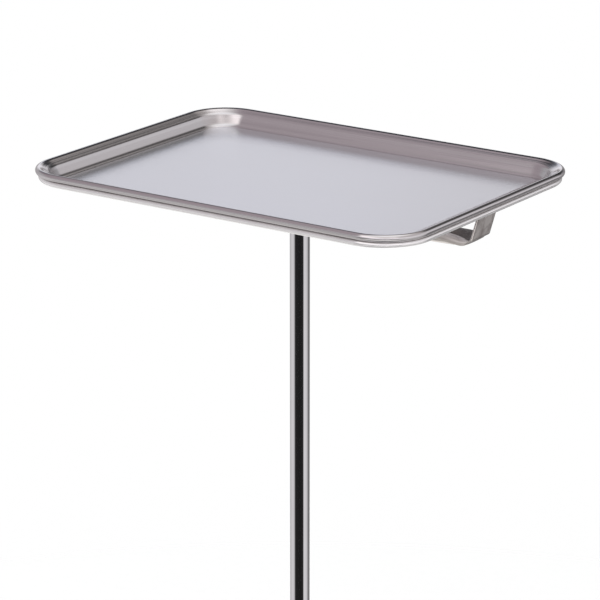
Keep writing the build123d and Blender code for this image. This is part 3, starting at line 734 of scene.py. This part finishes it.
def half_strap():
    """Rings of the flat end, its upward bend and the leg, with distances along the arm."""
    section = arm_section(*ARM_STATIONS[-1][1:])
    lean = math.atan(LEG_SLOPE)
    bend = math.pi / 2 - lean
    rings, run = [], []

    def leg_x(z):
        """Middle of the leg's thickness at height z."""
        return LEG_X - STRAP_T / 2 / math.cos(lean) + LEG_SLOPE * (z - LEG_X_Z)

    def put(distance, x, z, turn, thickness=1.0):
        narrowing = (1 - thickness) * TIP_NARROWING
        rings.append([(x - math.sin(turn) * up * thickness, y - math.copysign(narrowing, y),
                       z + math.cos(turn) * up * thickness) for y, up in section])
        run.append(distance)

    bend_x = leg_x(STRAP_Z) - BEND_R * math.tan(bend / 2)
    flat_length = bend_x - FLAT_START
    for i in (0, 1):
        put(FLAT_START + flat_length * i / 2, FLAT_START + flat_length * (i + 1) / 2,
            STRAP_Z, 0.0)
    for i in range(BEND_STEPS):
        turn = bend * (i + 1) / BEND_STEPS
        put(bend_x + BEND_R * bend * i / BEND_STEPS, bend_x + BEND_R * math.sin(turn),
            STRAP_Z + BEND_R * (1 - math.cos(turn)), turn)
    leg_start = bend_x + BEND_R * bend
    leg_foot = STRAP_Z + BEND_R * (1 - math.cos(bend))
    leg_rise = LEG_TOP - TIP_HEIGHT - leg_foot
    for i in range(LEG_STEPS):
        z = leg_foot + leg_rise * (i + 1) / LEG_STEPS
        put(leg_start + leg_rise * i / LEG_STEPS, leg_x(z), z, bend)
    put(leg_start + leg_rise, leg_x(LEG_TOP), LEG_TOP, bend, TIP_THICKNESS)
    return rings, run


def build_arm():
    tube_rings, tube_run = half_tube(0.0, FLAT_START)
    strap_rings, strap_run = half_strap()
    outside = (tube_rings + strap_rings, tube_run + strap_run)
    hollow = half_tube(ARM_WALL, BORE_REACH)
    verts, faces, uvs = [], [], []
    for half_rings, half_run in (outside, hollow):
        half, run = np.array(half_rings), np.array(half_run)
        rings = np.concatenate([half[1:][::-1] * (-1, 1, 1), half])
        along = np.concatenate([-run[1:][::-1], run]) / 1000
        across = running_length(np.vstack([rings[0], rings[0][:1]])) / 1000
        count, size = rings.shape[:2]
        skin_faces, skin_uvs = grid(count, size, along, across)
        flat = rings.reshape(-1, 3)
        for loop in (range(size)[::-1], range((count - 1) * size, count * size)):
            skin_faces.append(tuple(loop))
            skin_uvs += [(flat[v][1] / 1000, flat[v][2] / 1000) for v in loop]
        first = len(verts)
        verts += [(x / 1000, y / 1000, RIM_Z + z / 1000) for x, y, z in flat]
        faces += [tuple(v + first for v in face) for face in skin_faces]
        uvs += skin_uvs
    return solid_object("cross_arm_tube", verts, faces, MATERIALS["brushed_arm"], uvs, sharp=42)


stand_for(build_arm(), "cross_arm")


# ---------------------------------------------------------------------------
# post and column tubes
# ---------------------------------------------------------------------------
def build_post():
    """Tube with a shallow groove near its lower end."""
    outer = POST_SIZE.x / 2
    bore = outer - TUBE_WALL
    bottom, top = POST_LOW.z, POST_HIGH.z
    groove_low, groove_high = bottom + GROOVE_LOW, bottom + GROOVE_HIGH
    profile = [
        (bore, bottom), (outer - TUBE_CHAMFER, bottom), (outer, bottom + TUBE_CHAMFER),
        (outer, groove_low), (outer - GROOVE_DEPTH, groove_low),
        (outer - GROOVE_DEPTH, groove_high),
    ]
    profile += [(outer, z) for z in np.linspace(groove_high, top - TUBE_CHAMFER, 14)]
    profile += [(outer - TUBE_CHAMFER, top), (bore, top)]
    return lathe("post_tube", profile, MATERIALS["polished_post"], TUBE_SEGMENTS, sharp=35)


stand_for(build_post(), "inner_post")


def cut(ob, tool):
    """Take tool's volume out of ob."""
    modifier = ob.modifiers.new("cut", "BOOLEAN")
    modifier.operation = "DIFFERENCE"
    modifier.solver = "EXACT"
    modifier.object = tool
    depsgraph = bpy.context.evaluated_depsgraph_get()
    mesh = bpy.data.meshes.new_from_object(ob.evaluated_get(depsgraph))
    ob.modifiers.clear()
    ob.data = mesh
    bpy.data.objects.remove(tool, do_unlink=True)
    mesh.shade_smooth()
    mesh.set_sharp_from_angle(angle=math.radians(30))


def build_column():
    """Tube with a round hole through its -Y wall at the pressure pad's height."""
    low, high, _, size = span("outer_column")
    hole_z = span("pressure_pad")[2].z
    outer = size.x / 2
    bore = outer - TUBE_WALL
    profile = [(bore, low.z), (outer - TUBE_CHAMFER, low.z)]
    profile += [(outer, z) for z in np.linspace(low.z + TUBE_CHAMFER, high.z - TUBE_CHAMFER, 12)]
    profile += [(outer - TUBE_CHAMFER, high.z), (bore, high.z)]
    ob = lathe("column_tube", profile, MATERIALS["brushed_tube"], TUBE_SEGMENTS, sharp=35)
    # the cutter is turned to lie along Y
    cutter_profile = [(0, -0.02), (HOLE_R, -0.02), (HOLE_R, -0.001), (0, -0.001)]
    cutter = lathe("hole_cutter", cutter_profile, None, segments=48, sharp=30, closed=False,
                   place=lambda x, y, z: (x, z, hole_z - y))
    cut(ob, cutter)
    return ob


stand_for(build_column(), "outer_column")


# ---------------------------------------------------------------------------
# stage: camera, pale floor, surroundings, lights
# ---------------------------------------------------------------------------
CAMERA_RIGHT = Vector((0.8227, 0.5685, 0.0))
CAMERA_FORWARD = Vector((-0.54252, 0.78503, -0.29904))
CAMERA_OFFSET = Vector((1.9834, -2.8699, 0.9320))      # from the tray's middle at the rim


def make_camera():
    camera = bpy.data.cameras.new("camera")
    camera.lens = 183.2
    camera.sensor_width = 36.0
    camera.clip_start = 0.05
    camera.clip_end = 100.0
    ob = bpy.data.objects.new("camera", camera)
    bpy.context.scene.collection.objects.link(ob)
    right = CAMERA_RIGHT.normalized()
    back = -CAMERA_FORWARD.normalized()
    up = back.cross(right).normalized()
    pose = Matrix((right, up, back)).transposed().to_4x4()
    pose.translation = Vector((TRAY_CENTRE.x, TRAY_CENTRE.y, RIM_Z)) + CAMERA_OFFSET
    ob.matrix_world = pose
    bpy.context.scene.camera = ob


make_camera()


def floor_material():
    """Pale matt floor that fades to clear away from the stand."""
    m = Material("pale_floor")
    grain = m.noise(m.coord(), scale=60.0, detail=3.0, rough=0.5)
    m.set(base_color=m.mix(m.remap(grain, (0.3, 0.7)), (0.90, 0.90, 0.905),
                           (0.915, 0.915, 0.915)), roughness=0.7)
    m.bsdf.inputs["Specular IOR Level"].default_value = 0.1
    clear = m.node("ShaderNodeBsdfTransparent")
    distance = m.node("ShaderNodeVectorMath", operation="LENGTH")
    m.feed(distance.inputs[0], m.coord())
    fade = m.remap(distance.outputs["Value"], (0.9, 2.3), smooth=True)
    m.feed(m.output, m.mix_shader(fade, m.bsdf.outputs[0], clear.outputs[0]))
    return m.material


def make_floor():
    sides, radius = 96, 2.6
    angles = [TAU * i / sides for i in range(sides)]
    verts = [(0, 0, 0)] + [(radius * math.cos(a), radius * math.sin(a), 0) for a in angles]
    faces = [(0, 1 + i, 1 + (i + 1) % sides) for i in range(sides)]
    ob = new_object("pale_floor", verts, faces, floor_material())
    ob.visible_glossy = False


make_floor()

# Surroundings seen in the metal: (elevation in degrees, tint, stops) rows, low to high.
# A stop is (azimuth, brightness), with its own tint where it differs from the row's.
# Azimuth is in degrees from the camera side, positive toward the camera's right.
BLUE, MAUVE, BROWN = (.93, .97, 1.10), (1.0, .86, .92), (1.0, .93, .90)
LOW_MIDDLE = [
    (-150, .48), (-128, .64), (-95, .74), (-78, .70), (-66, .50), (-60, .10), (-50, .02),
    (0, .015), (32, .02), (40, .06), (46, .74), (62, .78), (90, .66), (104, .46)]
ROWS = [
    (-80, (1, 1, 1), [(-180, .40), (-90, .30), (0, .08), (90, .30), (180, .40)]),
    (-60, (1.0, .99, .96), [
        (-180, 1.15), (-150, .80), (-110, .60), (-60, .25), (0, .04), (60, .30), (120, .40),
        (150, .60), (165, 1.15), (180, 1.15)]),
    (-45, (1.0, .98, .95), [
        (-180, 1.15), (-160, 1.10), (-140, .60), (-110, .62), (-85, .56), (-60, .50),
        (-30, .70), (0, .80), (30, .70), (60, .50), (100, .45), (122, .50), (138, .30),
        (150, .50), (165, 1.10), (180, 1.15)]),
    (-31, (1.0, .97, .97), [
        (-180, .90), (-160, .70), (-120, .58), (-95, .55), (-78, .46), (-60, .60), (-40, 1.2),
        (0, 1.4), (30, 1.2), (60, .60), (98, .40), (105, .10), (118, .10), (123, .42),
        (130, .44), (135, .22), (142, .07), (158, .10), (170, .60), (180, .90)]),
    (-25, (1.0, .97, .98), [
        (-180, .42), *LOW_MIDDLE, (109, .13), (118, .12), (123, .26), (150, .28), (180, .42)]),
    (-15, (1.0, .97, .98), [
        (-180, .38), *LOW_MIDDLE, (108, .12), (118, .12), (123, .26), (150, .26), (180, .38)]),
    (-8, (1.0, .96, .97), [
        (-180, .34), (-150, .46), (-110, .52), (-70, .46), (-55, .50), (-30, .8), (0, .9),
        (40, .9), (80, .8), (104, .50), (112, .24), (125, .40), (150, .28), (180, .34)]),
    (0, (1.0, .95, .97), [
        (-180, .30), (-150, .50), (-110, .52), (-70, .44), (-48, .52), (-15, 1.15), (20, 1.35),
        (50, 1.2), (80, .90), (108, .78), (125, .50), (150, .30), (180, .30)]),
    (7, (1.0, .95, .97), [
        (-180, .34), (-150, .45), (-110, .46), (-70, .40), (-48, .55), (-15, 1.2), (20, 1.4),
        (60, 1.0), (100, .82), (112, .80), (130, .42), (150, .24), (180, .34)]),
    (14, (1.0, .985, 1.02), [
        (-180, 1.05), (-172, .97), (-158, .55), (-145, .46), (-120, .46), (-90, .42),
        (-71, .38), (-55, .75), (-15, 1.2), (20, 1.3), (60, .85), (95, .68), (112, .70),
        (126, .46), (145, .20), (162, .20), (168, .28), (174, .95), (180, 1.06)]),
    (20, (1.0, .98, 1.0), [
        (-180, .88, BLUE), (-165, .60), (-145, .40), (-120, .42), (-95, .40, MAUVE),
        (-72, .38, MAUVE), (-64, .50), (-58, 1.05), (-30, 1.1), (0, .95), (60, .70),
        (100, .66), (114, .68), (122, .40), (132, .08), (150, .06), (168, .12), (175, .70),
        (180, .88, BLUE)]),
    (26, (1.0, .95, .96), [
        (-180, .16, BLUE), (-165, .20, BLUE), (-140, .34, MAUVE), (-72, .38, MAUVE),
        (-66, .45), (-60, 1.2), (-30, 1.2), (0, .85), (60, .64), (100, .62), (115, .60),
        (121, .34), (128, .05), (158, .03), (170, .04, BLUE), (180, .16, BLUE)]),
    (33, (1.0, .95, .96), [
        (-180, .02, BLUE), (-168, .06, BLUE), (-146, .34, MAUVE), (-95, .36, MAUVE),
        (-72, .38, MAUVE), (-66, .45), (-60, 1.2), (-30, 1.2), (0, .80), (60, .62),
        (100, .60), (114, .50), (120, .16), (126, .03), (150, .03), (158, .16), (166, .06),
        (173, .03, BLUE), (180, .02, BLUE)]),
    (40, (1.0, .93, .92), [
        (-180, .02, BLUE), (-170, .05, BLUE), (-158, .30, MAUVE), (-120, .36, MAUVE),
        (-84, .38, MAUVE), (-74, .40, MAUVE), (-68, .44, MAUVE), (-61, 1.35), (-34, 1.4),
        (-14, .62), (0, .52), (22, 1.05), (44, .56), (70, .60), (100, .56), (114, .36),
        (122, .08), (144, .06), (152, .30, BROWN), (162, .46, BROWN), (170, .10),
        (180, .02, BLUE)]),
    (47, (1.0, .93, .92), [
        (-180, .04, BLUE), (-170, .12, BLUE), (-162, .38, MAUVE), (-118, .38, MAUVE),
        (-84, .38, MAUVE), (-76, .42), (-64, 1.2), (0, .85), (22, 1.0), (44, .66), (70, .66),
        (110, .56), (135, .30), (150, .46, BROWN), (162, .50, BROWN), (171, .30),
        (180, .04)]),
    (54, (1.0, .96, .95), [
        (-180, 1.00), (-171, .70), (-164, .44, MAUVE), (-150, .38, MAUVE), (-100, .38, MAUVE),
        (-84, .48), (-64, 1.1), (0, .90), (60, .70), (110, .60), (140, .55), (156, .80),
        (166, 1.15), (180, 1.00)]),
    (62, (1.0, .98, .97), [
        (-180, 1.15), (-170, .80), (-156, .42, MAUVE), (-104, .38, MAUVE), (-88, .50),
        (-62, 1.1), (0, 1.0), (80, .90), (130, .90), (158, 1.25), (180, 1.15)]),
    (74, (1, .99, 1), [(-180, 1.10), (-100, .80), (0, 1.1), (80, 1.0), (180, 1.10)]),
    (90, (1, 1, 1.02), [(-180, 1.0), (180, 1.0)]),
]


def azimuth_ramp(graph, azimuth, row_tint, stops):
    node = graph.node("ShaderNodeValToRGB")
    graph.feed(node.inputs[0], azimuth)
    ramp = node.color_ramp
    ramp.interpolation = "LINEAR"
    ramp.elements.remove(ramp.elements[-1])
    for i, (angle, brightness, *own_tint) in enumerate(stops):
        tint = own_tint[0] if own_tint else row_tint
        position = angle / 360 + 0.5
        element = ramp.elements.new(position) if i else ramp.elements[0]
        element.position = position
        element.color = (*(brightness * channel for channel in tint), 1)
    return node.outputs[0]


def make_world():
    """Plain white for all rays but glossy ones, which see the rows."""
    world = bpy.data.worlds.new("studio")
    bpy.context.scene.world = world
    g = Graph(world)
    direction = g.coord("Generated")

    def along(axis):
        node = g.node("ShaderNodeVectorMath", operation="DOT_PRODUCT")
        g.feed(node.inputs[0], direction)
        node.inputs[1].default_value = axis
        return node.outputs["Value"]

    def background(color):
        node = g.node("ShaderNodeBackground")
        g.feed(node.inputs["Color"], color)
        node.inputs["Strength"].default_value = 1.0
        return node.outputs[0]

    front = Vector((-CAMERA_FORWARD.x, -CAMERA_FORWARD.y, 0)).normalized()
    azimuth = g.math("ARCTAN2", along(CAMERA_RIGHT), along(front))
    azimuth = g.math("ADD", g.math("DIVIDE", azimuth, TAU), 0.5)
    elevation = g.math("MULTIPLY", g.math("ARCSINE", along((0, 0, 1)), 0.0), 180 / math.pi)
    ramps = [azimuth_ramp(g, azimuth, tint, stops) for _, tint, stops in ROWS]
    color = ramps[0]
    for below, above, ramp in zip(ROWS, ROWS[1:], ramps[1:]):
        share = g.remap(elevation, (below[0], above[0]), smooth=True)
        color = g.mix(share, color, ramp)
    plain, reflected = background((1, 1, 1)), background(color)
    glossy = g.node("ShaderNodeLightPath").outputs["Is Glossy Ray"]
    mixed = g.mix_shader(glossy, plain, reflected)
    g.feed(g.node("ShaderNodeOutputWorld").inputs[0], mixed)


make_world()


def soft_light(name, place, size, power):
    """Disc light aimed at the stand, hidden from the camera and from reflections."""
    light = bpy.data.lights.new(name, "AREA")
    light.shape = "DISK"
    light.size = size
    light.energy = power
    ob = bpy.data.objects.new(name, light)
    ob.location = place
    ob.rotation_mode = "QUATERNION"
    aim = Vector((0, 0, 0.3)) - Vector(place)
    ob.rotation_quaternion = aim.to_track_quat("-Z", "Y")
    ob.visible_glossy = False
    ob.visible_camera = False
    bpy.context.scene.collection.objects.link(ob)


soft_light("key", place=(-1.8, -2.0, 3.2), size=1.8, power=26.0)
soft_light("fill", place=(2.4, 1.0, 2.6), size=2.2, power=12.0)

bpy.context.scene.view_settings.view_transform = "Standard"
bpy.context.scene.view_settings.look = "None"
